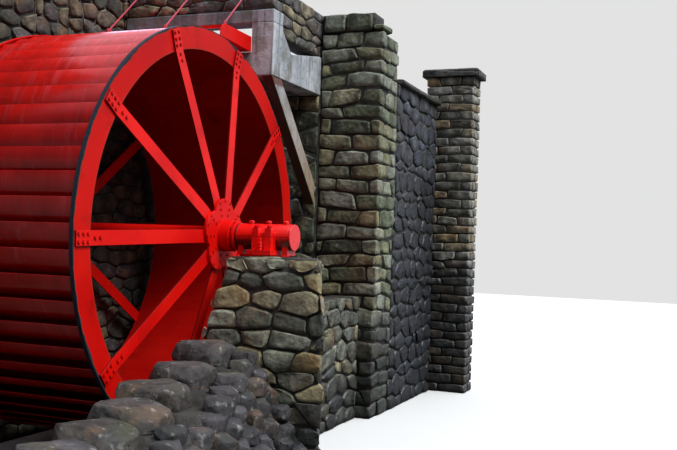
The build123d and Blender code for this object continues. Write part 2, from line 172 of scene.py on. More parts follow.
panel.rotation_euler = panel_way.to_track_quat("Z", "Y").to_euler()
panel.visible_camera = False
bpy.context.scene.collection.objects.link(panel)


# Mill wall
# Irregular fieldstones, each as deep as the wall, laid in loose courses and bedded in dark mortar, with an
# opening left for the axle. Each stone is cut along planes between it and the stones round it, which leave
# the joints, and then its edges are knocked off.
tiny, shortest_edge = 1e-6, 1e-4


def clip(faces, point, normal):
    """The part of a convex block behind a plane; a block is a list of faces, each a list of points."""
    kept, rim = [], []
    for face in faces:
        heights = [(corner - point).dot(normal) for corner in face]
        if max(heights) <= tiny:
            kept.append(face)
            continue
        left = []
        for index, corner in enumerate(face):
            after = (index + 1) % len(face)
            if heights[index] <= 0:
                left.append(corner)
            if (heights[index] < 0) != (heights[after] < 0) and heights[index] * heights[after] != 0:
                share = heights[index] / (heights[index] - heights[after])
                crossing = corner.lerp(face[after], share)
                left.append(crossing)
                rim.append(crossing)
        if len(left) > 2:
            kept.append(left)
    if len(rim) > 2:
        middle = sum(rim, Vector()) / len(rim)
        along = (rim[0] - middle).normalized()
        across = normal.cross(along)
        around = sorted(rim, key=lambda p: math.atan2((p - middle).dot(across), (p - middle).dot(along)))
        lid = [p for index, p in enumerate(around) if (p - around[index - 1]).length > shortest_edge]
        if len(lid) > 2:
            kept.append(lid)
    return kept


joined_rake = 0.15


def box_planes(low, high, hidden=(), joined=()):
    """The six sides of an upright box, each as a point, an outward normal and how far its mortar is raked out:
    not at all where another wall hides the side, and a little where one joins it."""
    sides = []
    for corner, way in ((low, -1), (high, 1)):
        for side, letter in enumerate("xyz"):
            name = ("-" if way < 0 else "+") + letter
            normal = Vector([float(way) if axis == side else 0.0 for axis in range(3)])
            raked = 0.0 if name in (*hidden, "-z") else joined_rake if name in joined else 1.0
            sides.append((Vector(corner), normal, raked))
    return sides


def node_planes(node):
    """The outer planes of a convex CAD solid; all show but the one that it stands on."""
    found = {}
    for face in nodes[node].data.polygons:
        normal = face.normal.normalized()
        depth = normal.dot(face.center)
        found[tuple(round(v, 2) for v in (*normal, depth))] = (normal * depth, normal, float(normal.z > -0.9))
    return list(found.values())


def block_of(planes):
    """The convex block that a set of planes encloses."""
    reach = 20.0
    corners = [Vector((x, y, z)) for z in (-reach, reach) for y in (-reach, reach) for x in (-reach, reach)]
    faces = [(0, 2, 3, 1), (4, 5, 7, 6), (0, 1, 5, 4), (2, 6, 7, 3), (0, 4, 6, 2), (1, 3, 7, 5)]
    block = [[corners[index] for index in face] for face in faces]
    for point, normal, _ in planes:
        block = clip(block, point, normal)
    return block


tall_block, long_run, flat_lift, middle_share = 2.7, (1.2, 1.9), (1.05, 1.9), (0.36, 0.64)


def break_up(block, size, joint, slant, draw):
    """Breaks a block into slabs: level beds two courses apart, then upright joints, then single courses."""
    corners = [corner for face in block for corner in face]
    low = [min(corner[axis] for corner in corners) for axis in range(3)]
    spans = [max(corner[axis] for corner in corners) - low[axis] for axis in range(3)]
    shares = [spans[axis] / size[axis] for axis in range(3)]
    side = 0 if shares[0] > shares[1] else 1
    axis = 2 if shares[2] > tall_block else side
    if shares[axis] < draw.uniform(*long_run):
        axis = 2
        if shares[2] < draw.uniform(*flat_lift):
            return [block]
    courses = max(2, round(shares[axis]))
    if courses > 3:
        share = draw.randint(courses // 3, courses - courses // 3) / courses
    else:
        share = draw.uniform(*middle_share)
    normal = Vector([float(axis == other) for other in range(3)])
    for other in range(3):
        if other != axis:
            level = min(1.0, 1.6 * size[other] / max(spans[other], 1e-3))
            normal[other] = draw.uniform(-slant, slant) * level
    normal.normalize()
    point = Vector([low[a] + spans[a] * (share if a == axis else 0.5) for a in range(3)])
    stones = []
    for way in (1, -1):
        half = clip(block, point - normal * way * joint / 2, normal * way)
        if len(half) > 3:
            stones += break_up(half, size, joint, slant, draw)
    return stones


neighbours = [(i, j, k) for k in (-1, 0, 1) for j in (-1, 0, 1) for i in (-1, 0, 1)]
bed_scatter, steps_seen, least_share, most_share = 0.6, 1.5, 0.25, 0.75


def pile_up(block, planes, size, joint, scatter, squared, draw):
    """Breaks a block into stones. Their middles stand in loose courses, each half a stone along from the
    last, and a stone is what lies nearer to its own middle than to the others. The beds between courses are
    levelled, fully where squared is 1."""
    corners = [corner for face in block for corner in face]
    low = [min(corner[axis] for corner in corners) for axis in range(3)]
    spans = [max(corner[axis] for corner in corners) - low[axis] for axis in range(3)]
    counts = [max(1, round(spans[axis] / size[axis])) for axis in range(3)]
    steps = [spans[axis] / counts[axis] for axis in range(3)]
    loose = (scatter, scatter, scatter * bed_scatter)
    middles = {}
    for course in range(counts[2]):
        halved = [course % 2 == 1 and counts[axis] > 1 for axis in (0, 1)]
        for row in range(counts[1] + halved[1]):
            for column in range(counts[0] + halved[0]):
                cell = (column, row, course)
                place = Vector()
                for axis in range(3):
                    offset = 0.0 if axis < 2 and halved[axis] else 0.5
                    place[axis] = cell[axis] + offset + draw.uniform(-1, 1) * loose[axis]
                middles[cell] = (place, draw.uniform(0.0, scatter))
    reach = max(steps) * steps_seen
    stones = []
    for cell, (place, weight) in middles.items():
        middle = Vector([low[axis] + place[axis] * steps[axis] for axis in range(3)])
        if all(not raked or (point - middle).dot(normal) > reach for point, normal, raked in planes):
            continue
        near = []
        for step in neighbours:
            key = tuple(cell[axis] + step[axis] for axis in range(3))
            if key != cell and key in middles:
                other, other_weight = middles[key]
                near.append(((other - place).length_squared, tuple(other - place), weight - other_weight))
        stone = block
        for apart, way, lead in sorted(near):
            share = min(most_share, max(least_share, 0.5 + lead / (2 * apart)))
            point = Vector([low[axis] + (place[axis] + way[axis] * share) * steps[axis] for axis in range(3)])
            level_bed = 1 - squared if abs(way[2]) > 0.5 else 1
            normal = Vector((way[0] / steps[0] * level_bed, way[1] / steps[1] * level_bed, way[2] / steps[2]))
            normal.normalize()
            stone = clip(stone, point - normal * joint / 2, normal)
        if len(stone) > 3:
            stones.append(stone)
    return stones


face_tilt, least_setback = 0.04, 0.2
broad_sway, fine_sway, fine_share, sway_fade = 1.3, 3.1, 0.45, 0.3
sway_seed = 7
noise.seed_set(sway_seed)


def lay_stones(planes, size, joint, slant, setback, sway, chip, draw, scatter=0.0, squared=0.0):
    """The stones of one mass that show, with faces set back unevenly, and with beds and joints swayed off
    straight lines, except at the faces. With a scatter they are rubble or blocks, and without it slabs."""
    laid = []
    block = block_of(planes)
    if scatter:
        broken = pile_up(block, planes, size, joint, scatter, squared, draw)
    else:
        broken = break_up(block, size, joint, slant, draw)
    for stone in broken:
        shows = False
        for point, normal, raked in planes:
            if len(stone) < 4:
                break
            if not raked or max((corner - point).dot(normal) for face in stone for corner in face) < -0.01:
                continue
            shows = True
            tilt = Vector([draw.uniform(-face_tilt, face_tilt) for _ in range(3)])
            centre = sum((sum(face, Vector()) / len(face) for face in stone), Vector()) / len(stone)
            seat = centre + normal * (point - centre).dot(normal)
            back = normal * draw.uniform(least_setback, 1.0) * setback
            stone = clip(stone, seat - back, (normal + tilt).normalized())
        if shows and not sliver(stone):
            laid.append(chipped(stone, chip, draw, planes))
    swayed = []
    for stone in laid:
        faces = []
        for face in stone:
            corners = []
            for corner in face:
                move = noise.noise_vector(corner * broad_sway) * sway
                move += noise.noise_vector(corner * fine_sway) * sway * fine_share
                for point, normal, _ in planes:
                    depth = (point - corner).dot(normal)
                    move -= normal * move.dot(normal) * max(0.0, min(1.0, 1 - depth / sway_fade))
                corners.append(corner + move)
            faces.append(corners)
        swayed.append(faces)
    return swayed


thinnest_stone = 0.05


def sliver(stone):
    """Whether a stone is too thin to be one."""
    spans = [[corner[axis] for face in stone for corner in face] for axis in range(3)]
    return len(stone) < 4 or min(max(span) - min(span) for span in spans) < thinnest_stone


buried, nearly_flat = 0.12, 0.85


def chipped(stone, chip, draw, planes=()):
    """A stone with its edges knocked off, each by a plane of its own depth; deep inside a wall they stay."""
    faces_at = {}
    for face in stone:
        keys = [tuple(round(v, 3) for v in corner) for corner in face]
        turns = [(face[i] - face[0]).cross(face[i + 1] - face[0]) for i in range(1, len(face) - 1)]
        normal = sum(turns, Vector())
        if normal.length < tiny:
            continue
        for index, key in enumerate(keys):
            edge = frozenset((key, keys[index - 1]))
            faces_at.setdefault(edge, []).append((face[index], normal.normalized()))
    middle = sum((sum(face, Vector()) / len(face) for face in stone), Vector()) / len(stone)
    for edge, sides in faces_at.items():
        if len(sides) != 2 or len(edge) != 2:
            continue
        outward = [normal if (corner - middle).dot(normal) > 0 else -normal for corner, normal in sides]
        if outward[0].dot(outward[1]) > nearly_flat:
            continue
        ends = [Vector(end) for end in edge]
        if planes and all(not raked or (point - ends[0]).dot(normal) > buried < (point - ends[1]).dot(normal)
                          for point, normal, raked in planes):
            continue
        lean = (outward[0] * draw.uniform(0.6, 1.4) + outward[1]).normalized()
        cut = clip(stone, (ends[0] + ends[1]) / 2 - lean * chip * draw.uniform(0.35, 1.0), lean)
        if len(cut) > 3:
            stone = cut
    return stone


def stone_finish_tree():
    """Rounds and roughens a mesh of flat-faced stones, and keeps how far each point was pulled in. The
    mortar, whose tone is under 0, stays as it is."""
    tree = bpy.data.node_groups.new("stone_finish", "GeometryNodeTree")
    face = tree.interface
    face.new_socket("Stones", in_out="OUTPUT", socket_type="NodeSocketGeometry")
    face.new_socket("Stones", in_out="INPUT", socket_type="NodeSocketGeometry")
    for name, kind in (
        ("Level", "Int"), ("Rounding", "Int"), ("Roughness", "Float"), ("Grain", "Float"),
        ("Material", "Material"),
    ):
        face.new_socket(name, in_out="INPUT", socket_type="NodeSocket" + kind)
    given = tree.nodes.new("NodeGroupInput").outputs
    fine = add(tree, "GeometryNodeSubdivideMesh", {"Mesh": given["Stones"], "Level": given["Level"]})
    place = add(tree, "GeometryNodeInputPosition")
    tone = add(tree, "GeometryNodeInputNamedAttribute", {"Name": "stone_tone"})
    is_stone = sums(tree, "GREATER_THAN", tone, -0.5)
    rounded = add(
        tree, "GeometryNodeBlurAttribute",
        {"Value": place, "Iterations": given["Rounding"], "Weight": is_stone}, data_type="FLOAT_VECTOR",
    )
    add(tree, "ShaderNodeVectorMath", {0: rounded, 1: place}, operation="DISTANCE")
    pulled = tree.nodes[-1].outputs["Value"]
    edged_stones = add(
        tree, "GeometryNodeStoreNamedAttribute", {"Geometry": fine, "Name": "stone_edge", "Value": pulled}
    )
    softened = add(tree, "GeometryNodeSetPosition", {"Geometry": edged_stones, "Position": rounded})
    lump_shift, lump_middle = 40.0, 0.72
    lumps = add(tree, "ShaderNodeTexNoise", {
        "Vector": place, "W": sums(tree, "MULTIPLY", tone, lump_shift), "Scale": given["Grain"], "Detail": 3.0
    }, noise_dimensions="4D")
    outward = add(tree, "GeometryNodeInputNormal")
    depth = sums(tree, "MULTIPLY", sums(tree, "SUBTRACT", lumps, lump_middle), given["Roughness"])
    depth = sums(tree, "MULTIPLY", depth, is_stone)
    offset = add(tree, "ShaderNodeVectorMath", {0: outward, "Scale": depth}, operation="SCALE")
    rough = add(tree, "GeometryNodeSetPosition", {"Geometry": softened, "Offset": offset})
    smooth = add(tree, "GeometryNodeSetShadeSmooth", {"Geometry": rough})
    real = add(tree, "GeometryNodeRealizeInstances", {"Geometry": smooth})
    done = add(tree, "GeometryNodeSetMaterial", {"Geometry": real, "Material": given["Material"]})
    tree.links.new(done, tree.nodes.new("NodeGroupOutput").inputs[0])
    return tree


def baked(piece, tree, values):
    """Runs a Geometry Nodes tree on a piece with these inputs, and keeps the result as its plain mesh."""
    modifier = piece.modifiers.new(tree.name, "NODES")
    modifier.node_group = tree
    for socket in tree.interface.items_tree:
        if socket.in_out == "INPUT" and socket.name in values:
            modifier[socket.identifier] = values[socket.name]
    graph = bpy.context.evaluated_depsgraph_get()
    mesh = bpy.data.meshes.new_from_object(piece.evaluated_get(graph))
    piece.modifiers.remove(modifier)
    piece.data = mesh
    return piece


stone_finish = stone_finish_tree()


def wrapped(stone):
    """A stone's faces if they close round it, and otherwise the faces of the tight hull round its corners."""
    uses = {}
    for face in stone:
        keys = [tuple(round(v, 3) for v in corner) for corner in face]
        for index, key in enumerate(keys):
            if key != keys[index - 1]:
                edge = frozenset((key, keys[index - 1]))
                uses[edge] = uses.get(edge, 0) + 1
    if all(count == 2 for count in uses.values()):
        return stone
    shape = bmesh.new()
    for corner in {tuple(round(v, 3) for v in corner) for face in stone for corner in face}:
        shape.verts.new(corner)
    bmesh.ops.convex_hull(shape, input=shape.verts)
    faces = [[corner.co.copy() for corner in face.verts] for face in shape.faces]
    shape.free()
    return faces


def stone_piece(name, stones, core, level, rounding, roughness, grain, material, draw, darker=()):
    """One mesh of all the stones of a wall, each with a tone of its own, and a core of mortar behind them.
    The darker stones take the first half of the tones, and the others then take the rest."""
    points, polygons, tones = [], [], []
    lightest_from = 0.5 if darker else 0.0
    tone_ranges = [(stone, -1.0, -1.0) for stone in core] + [(stone, 0.0, 0.5) for stone in darker]
    tone_ranges += [(stone, lightest_from, 1.0) for stone in stones]
    for stone, low_tone, high_tone in tone_ranges:
        first, tone, places = len(points), draw.uniform(low_tone, high_tone), {}
        for face in wrapped(stone):
            keys = [tuple(round(v, 3) for v in corner) for corner in face]
            for key, corner in zip(keys, face):
                if key not in places:
                    places[key] = first + len(places)
                    points.append(tuple(corner))
                    tones.append(tone)
            outline = [places[key] for index, key in enumerate(keys) if key != keys[index - 1]]
            if len(outline) > 2:
                polygons.append(outline)
    mesh = bpy.data.meshes.new(name)
    mesh.from_pydata(points, [], polygons)
    mesh.validate()
    mesh.attributes.new("stone_tone", "FLOAT", "POINT").data.foreach_set("value", tones[: len(mesh.vertices)])
    piece = bpy.data.objects.new(name, mesh)
    bpy.context.scene.collection.objects.link(piece)
    shape = bmesh.new()
    shape.from_mesh(mesh)
    bmesh.ops.recalc_face_normals(shape, faces=shape.faces)
    shape.to_mesh(mesh)
    shape.free()
    return baked(piece, stone_finish, {
        "Level": level, "Rounding": rounding, "Roughness": roughness, "Grain": grain, "Material": material
    })


top_depth, bond = 0.03, 0.02


def mortar(planes, depth):
    """The mass of mortar and small stones that shows in the joints, behind the stones' faces. It runs on a
    little into the wall that hides a side."""
    moved = []
    for point, normal, raked in planes:
        upright = abs(normal.z) < 0.5
        inward = raked * (min(depth, top_depth) if normal.z > 0.5 else depth)
        if not raked and upright:
            inward = -bond
        moved.append((point - normal * inward, normal, raked))
    return block_of(moved)


def wall(node, masses, size, material, seed, joint=0.006, slant=0.16, setback=0.025, sway=0.06,
         chip=0.022, level=1, rounding=1, roughness=0.03, grain=5.0, scatter=0.0, squared=0.0, bed=0.04):
    """A stone wall that stands for a CAD node, from one or more convex masses. Its mortar lies as deep as the
    deepest set-back face and the bed together."""
    draw = random.Random(seed)
    stones, cores = [], []
    for planes in masses:
        stones += lay_stones(planes, size, joint, slant, setback, sway, chip, draw, scatter, squared)
        cores.append(mortar(planes, setback + bed))
    piece = stone_piece(node + "_stones", stones, cores, level, rounding, roughness, grain, material, draw)
    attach(piece, "masonry")
    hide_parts(node)
    return piece


def speckle(tree, place, scale, detail=4.0, stretch=None, shift=None):
    """Noise from 0 to 1 over a surface, stretched along an axis or shifted from piece to piece if asked."""
    if stretch:
        place = add(tree, "ShaderNodeVectorMath", {0: place, 1: stretch}, operation="MULTIPLY")
    sources = {"Vector": place, "Scale": scale, "Detail": detail}
    if shift is not None:
        sources["W"] = shift
    return add(tree, "ShaderNodeTexNoise", sources, noise_dimensions="3D" if shift is None else "4D")


ochre_stain, pale_lichen, green_moss = linear(158, 112, 60), linear(168, 168, 158), linear(62, 74, 30)
edge_shade, damp_stone, dark_mortar = linear(30, 29, 26), linear(34, 36, 38), linear(46, 43, 38)


def fieldstone(name, tones, ochre=0.3, moss=0.2, lichen=0.25, damp=None, contrast=0.55):
    """Stone with a tone for each block, mottling, ochre stains, lichen, moss on ledges, dark joints, painted
    shade where rounding pulled the stones' edges in, and a foot that is damp up to a height."""
    material, tree, shader, place = surface(name)
    add(tree, "ShaderNodeAttribute", attribute_name="stone_tone")
    tone = tree.nodes[-1].outputs["Fac"]
    add(tree, "ShaderNodeAttribute", attribute_name="stone_edge")
    edge = tree.nodes[-1].outputs["Fac"]
    shift = sums(tree, "MULTIPLY", tone, 23.0)
    ramp = tree.nodes.new("ShaderNodeValToRGB")
    ramp.color_ramp.interpolation = "EASE"
    for index, colour in enumerate(tones):
        stop = ramp.color_ramp.elements[index] if index < 2 else ramp.color_ramp.elements.new(0.5)
        stop.color = linear(*colour)
    for index, stop in enumerate(ramp.color_ramp.elements):
        stop.position = index / (len(tones) - 1)
    tree.links.new(tone, ramp.inputs[0])
    colour = ramp.outputs[0]
    broad = speckle(tree, place, 3.1, 5.0, shift=shift)
    fine = speckle(tree, place, 19.0, 6.0, shift=shift)
    bedding = speckle(tree, place, 7.0, 5.0, stretch=(1.0, 1.0, 2.6), shift=shift)
    shade = sums(tree, "ADD", spread(tree, broad, 0.3, 0.7, 1 - contrast, 1 + contrast),
                 spread(tree, fine, 0.3, 0.7, -0.28, 0.28))
    shade = sums(tree, "ADD", shade, spread(tree, bedding, 0.35, 0.65, -0.08, 0.08))
    colour = add(tree, "ShaderNodeHueSaturation", {"Color": colour, "Value": shade})
    stain = speckle(tree, place, 2.4, 5.0, shift=sums(tree, "ADD", shift, 7.0))
    stain = sums(tree, "MULTIPLY", spread(tree, stain, 0.53, 0.66), ochre)
    colour = mixed(tree, stain, colour, ochre_stain)
    growth = speckle(tree, place, 11.0, 7.0)
    crust = sums(tree, "MULTIPLY", spread(tree, growth, 0.60, 0.70), lichen)
    colour = mixed(tree, crust, colour, pale_lichen)
    facing = separate(tree, tree.nodes.new("ShaderNodeNewGeometry").outputs["Normal"])
    upward = spread(tree, facing["Z"], 0.1, 0.9)
    patch = speckle(tree, place, 1.5, 6.0)
    green = sums(tree, "MULTIPLY", sums(tree, "ADD", upward, 0.25), spread(tree, patch, 0.5, 0.62))
    colour = mixed(tree, sums(tree, "MULTIPLY", green, moss, clamp=True), colour, green_moss)
    # Painted shade: the stones darken where rounding pulled their edges in towards the joints.
    grime_and_edge_shade = spread(tree, edge, 0.004, 0.035, 0.0, 0.72)
    colour = mixed(tree, grime_and_edge_shade, colour, edge_shade)
    roughness = spread(tree, fine, 0.3, 0.7, 0.72, 0.95)
    if damp is not None:
        line = sums(tree, "ADD", separate(tree, place)["Z"], spread(tree, broad, 0.2, 0.8, -0.35, 0.35))
        wet = spread(tree, line, damp - 0.25, damp + 0.25, 0.8, 0.0)
        colour = mixed(tree, wet, colour, damp_stone)
        roughness = sums(tree, "SUBTRACT", roughness, sums(tree, "MULTIPLY", wet, 0.45))
    bed = spread(tree, tone, -0.6, -0.4, 1.0, 0.0)
    colour = mixed(tree, bed, colour, dark_mortar)
    tree.links.new(colour, shader.inputs["Base Color"])
    tree.links.new(roughness, shader.inputs["Roughness"])
    flakes = add(
        tree, "ShaderNodeTexVoronoi", {"Vector": place, "W": shift, "Scale": 9.0}, voronoi_dimensions="4D"
    )
    grit = sums(tree, "ADD", sums(tree, "MULTIPLY", fine, 0.7), sums(tree, "MULTIPLY", bedding, 0.4))
    grit = sums(tree, "ADD", grit, growth)
    grit = sums(tree, "ADD", grit, sums(tree, "MULTIPLY", flakes, 0.9))
    bump = add(tree, "ShaderNodeBump", {"Height": grit, "Strength": 0.8, "Distance": 0.018})
    tree.links.new(bump, shader.inputs["Normal"])
    return material


mill_stone = fieldstone(
    "mill_stone", [(53, 50, 46), (81, 77, 69), (65, 69, 58), (102, 92, 71), (79, 73, 72)],
    ochre=0.35, moss=0.4,
)
mill_size = (0.9, 0.42, 0.25)
mill_joins = {
    "mill_wall_near": ([], ["+y"]),
    "mill_wall_far": ([], ["-y"]),
    "mill_wall_over_axle": (["-y", "+y"], []),
    "mill_wall_under_axle": (["-y", "+y"], []),
}
for seed, (mill_part, joins) in enumerate(mill_joins.items(), 11):
    wall(mill_part, [box_planes(*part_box(mill_part), *joins)], mill_size, mill_stone, seed,
         sway=0.08, roughness=0.04, scatter=0.3)


# Dam, tower and spillway
# The tower is of large, roughly squared blocks in courses, and has lost its upper courses on the outboard
# side and at the back. The dam and the spillway wall are of rubble, the second dark and wet under a crest of
# flat slabs.
tower_stone = fieldstone(
    "tower_stone", [(76, 82, 66), (119, 124, 103), (99, 108, 84), (132, 129, 98), (134, 140, 126)],
    ochre=0.2, moss=0.55, lichen=0.6, damp=1.75,
)
tower_low, tower_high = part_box("tower")
shoulder_width, shoulder_drop = 0.23, 0.19
back_width, back_depth, back_drop = 0.56, 0.42, 0.33
lower_top = tower_high.z - back_drop
tower_masses = [
    box_planes(tower_low, (tower_high.x, tower_high.y, lower_top), [], ["-x", "+y"]),
    box_planes((tower_low.x, tower_low.y, lower_top),
               (tower_high.x - shoulder_width, tower_high.y - back_depth, tower_high.z),
               ["+x", "+y"], ["-x"]),
    box_planes((tower_high.x - shoulder_width, tower_low.y, lower_top),
               (tower_high.x, tower_high.y - back_depth, tower_high.z - shoulder_drop), ["-x"]),
    box_planes((tower_low.x, tower_high.y - back_depth, lower_top),
               (tower_high.x - back_width, tower_high.y, tower_high.z), ["-y"], ["-x"]),
]
wall("tower", tower_masses, (0.5, 0.44, 0.25), tower_stone, 21,
     setback=0.035, sway=0.07, chip=0.03, level=2, rounding=2, roughness=0.055, scatter=0.24, squared=0.75)
dam_masses = [box_planes(*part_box("dam_wall"), ["-x", "+x", "+z"])]
wall("dam_wall", dam_masses, (0.5, 1.2, 0.3), tower_stone, 22,
     sway=0.08, roughness=0.045, scatter=0.28)
wet_stone = fieldstone(
    "wet_stone", [(46, 52, 64), (70, 80, 98), (58, 64, 76), (82, 84, 88)], ochre=0.12, moss=0.25, damp=4.4
)
spillway_masses = [box_planes(*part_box("spillway_wall"), ["-y", "+z"], ["+y"])]
wall("spillway_wall", spillway_masses, (0.5, 0.46, 0.26), wet_stone, 23,
     setback=0.03, roughness=0.055, scatter=0.28, bed=0.03)
slab_stone = fieldstone("slab_stone", [(58, 60, 58), (82, 82, 78)], ochre=0.1, moss=0.35, contrast=0.4)
crest_masses = [box_planes(*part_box("spillway_crest"))]
wall("spillway_crest", crest_masses, (1.3, 0.75, 0.3), slab_stone, 24,
     slant=0.08, setback=0.012, sway=0.02, level=2, rounding=2, roughness=0.02, bed=0.01)


# Far pillar
# Squared brown stones in courses about 0.17 m high, two or so to a course on each face, under one dark slab
# that overhangs them. Its foot is dark and wet.
pillar_stone = fieldstone(
    "pillar_stone", [(101, 102, 95), (134, 132, 116), (161, 140, 104), (125, 124, 114), (152, 151, 142)],
    ochre=0.4, moss=0.25, damp=2.6, lichen=0.3,
)
pillar_masses = [box_planes(*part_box("spillway_pillar"), ["+z"])]
wall("spillway_pillar", pillar_masses, (0.5, 0.33, 0.175), pillar_stone, 31,
     setback=0.012, sway=0.035, chip=0.016, scatter=0.13, squared=0.9)
wall("pillar_cap", [node_planes("pillar_cap")], (3.0, 3.0, 1.0), slab_stone, 32,
     setback=0.01, level=4, rounding=3, roughness=0.045, grain=3.0, bed=0.01)


# Bearing pier and pit wall
# Rounded rubble, tightly packed, with orange-stained stones among the grey ones. The pier carries the
# bearing's foot plate, and the lower wall closes the wheel pit between it and the tower.
pier_stone = fieldstone(
    "pier_stone", [(78, 81, 69), (122, 125, 106), (103, 107, 99), (142, 133, 98), (136, 141, 124)],
    ochre=0.4, moss=0.35, damp=0.95,
)
wall("bearing_pier", [node_planes("bearing_pier")], (0.46, 0.42, 0.23), pier_stone, 41,
     joint=0.003, setback=0.04, sway=0.1, chip=0.03, level=2, roughness=0.06, scatter=0.32)
pit_masses = [box_planes(*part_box("pit_wall"), ["-y", "+y"])]
wall("pit_wall", pit_masses, (0.7, 0.4, 0.25), pier_stone, 42,
     setback=0.035, sway=0.09, chip=0.025, roughness=0.045, scatter=0.3)


# Tailrace wall
# Dry-laid stone that steps down from the pier. One big boulder lies across the wall at each step, over a bed
# of rubble, and rounded cobbles cover the slope on its outboard side.
boulder_stone = fieldstone(
    "boulder_stone", [(38, 38, 40), (62, 56, 49), (59, 56, 58), (69, 66, 68), (63, 61, 61)],
    ochre=0.2, moss=0.25, lichen=0.4, damp=0.8, contrast=0.4,
)
tail_low, tail_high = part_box("tailrace_wall")
boulder_ends = [(0.24, 1.02), (0.28, 1.06), (0.26, 1.14), (0.34, 1.28), (0.36, 1.3), (0.32, 1.26)]
boulder_count = len(boulder_ends)
boulder_run = (tail_high.y - tail_low.y) / boulder_count
lowest_below_axle, drop_curve = 1.93, 0.75
boulder_drop = tail_high.z - (axle_z - lowest_below_axle)
boulder_thickness, boulder_lap, boulder_facets, boulder_chip = 0.42, 0.06, 16, 0.03
rubble_cover, rubble_size, rubble_scatter, rubble_depth = 0.26, (0.5, 0.4, 0.27), 0.32, 0.06
slope_top_from_axle = 1.05
slope_top = Vector((axle_x + slope_top_from_axle, 0.0, tail_high.z))
slope_normal = Vector((slope_top.z, 0.0, tail_high.x - slope_top.x)).normalized()
slope_way = Vector((tail_high.x - slope_top.x, 0.0, -slope_top.z)).normalized()
slope_length = (tail_high.x - slope_top.x) / slope_way.x
cobble_rows, cobble_columns, cobble_facets, cobble_chip = 8, 2, 11, 0.015
cobble_halves = ((0.13, 0.2), (0.14, 0.2), (0.11, 0.16))
cobble_sink, cobble_stray, cobble_clear = (0.05, 0.1), 0.16, 0.2
tail_draw = random.Random(51)


def boulder(low, high, facets, draw):
    """A rounded boulder: a block cut down to facets that lie round a cushion shape inside it, spread over its
    surface along a spiral."""
    spiral_turn, turn_stray, facet_depth, cushion = 2.4, 0.4, (0.8, 0.98), 1.4
    middle, half = (low + high) / 2, (high - low) / 2
    block = block_of(box_planes(low, high))
    for index in range(facets):
        height = 1 - (2 * index + 1) / facets
        round_it = index * spiral_turn + draw.uniform(-turn_stray, turn_stray)
        flat = math.sqrt(1 - height * height)
        lean = Vector((flat * math.cos(round_it), flat * math.sin(round_it), height))
        reach = sum(abs(half[axis] * lean[axis]) ** cushion for axis in range(3)) ** (1 / cushion)
        block = clip(block, middle + lean * reach * draw.uniform(*facet_depth), lean)
    return block


boulders, cobbles, rubble, tail_cores = [], [], [], []
for index, (inner_end, outer_end) in enumerate(boulder_ends):
    near_end = tail_high.y - (index + 1) * boulder_run
    far_end = near_end + boulder_run
    top = tail_high.z - boulder_drop * (index / (boulder_count - 1)) ** drop_curve
    hidden = ["+y"] if index == boulder_count - 1 else ["-y", "+y"]
    bed = box_planes((tail_low.x, near_end, 0.0), (tail_high.x, far_end, top - rubble_cover), hidden)
    bed.append((slope_top, slope_normal, 1.0))
    rubble += lay_stones(bed, rubble_size, joint=0.006, slant=0.0, setback=0.04, sway=0.08, chip=0.03,
                         draw=tail_draw, scatter=rubble_scatter)
    tail_cores.append(mortar(bed, rubble_depth))
    low_y, high_y = max(near_end - boulder_lap, tail_low.y), min(far_end + boulder_lap, tail_high.y)
    low_corner = Vector((axle_x + inner_end, low_y, top - boulder_thickness))
    high_corner = Vector((axle_x + outer_end, high_y, top))
    block = boulder(low_corner, high_corner, boulder_facets, tail_draw)
    boulders.append(chipped(block, boulder_chip, tail_draw))
    for row in range(cobble_rows):
        for column in range(cobble_columns):
            seat = slope_top + slope_way * slope_length * (row + 0.5 * (column % 2) + 0.3) / cobble_rows
            half = Vector([tail_draw.uniform(*span) for span in cobble_halves])
            seat -= slope_normal * tail_draw.uniform(*cobble_sink)
            stray = tail_draw.uniform(-cobble_stray, cobble_stray)
            seat.y = near_end + (column + 0.5 + stray) * boulder_run / cobble_columns
            seat.x = min(seat.x, tail_high.x - half.x)
            seat.y = min(max(seat.y, tail_low.y + half.y), tail_high.y - half.y)
            seat.z = max(seat.z, half.z)
            if seat.z < top - cobble_clear:
                block = boulder(seat - half, seat + half, cobble_facets, tail_draw)
                cobbles.append(chipped(block, cobble_chip, tail_draw))
tailrace = stone_piece(
    "tailrace_wall_stones", [], tail_cores, level=1, rounding=1, roughness=0.05, grain=4.0,
    material=boulder_stone, draw=tail_draw, darker=rubble,
)
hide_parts("tailrace_wall")
topping = stone_piece(
    "tailrace_boulders", boulders, [], level=2, rounding=2, roughness=0.06, grain=4.0,
    material=boulder_stone, draw=tail_draw, darker=cobbles,
)
for tail_piece in (tailrace, topping):
    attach(tail_piece, "masonry")


# Flume
# A concrete box cast in boards, streaked with lime and rain, with fieldstone parapets on it. A concrete strut
# props its near corner from the dam, and has a rusty steel shoe at its head.
sharp_edge, level_edge = math.radians(35.0), math.radians(0.6)


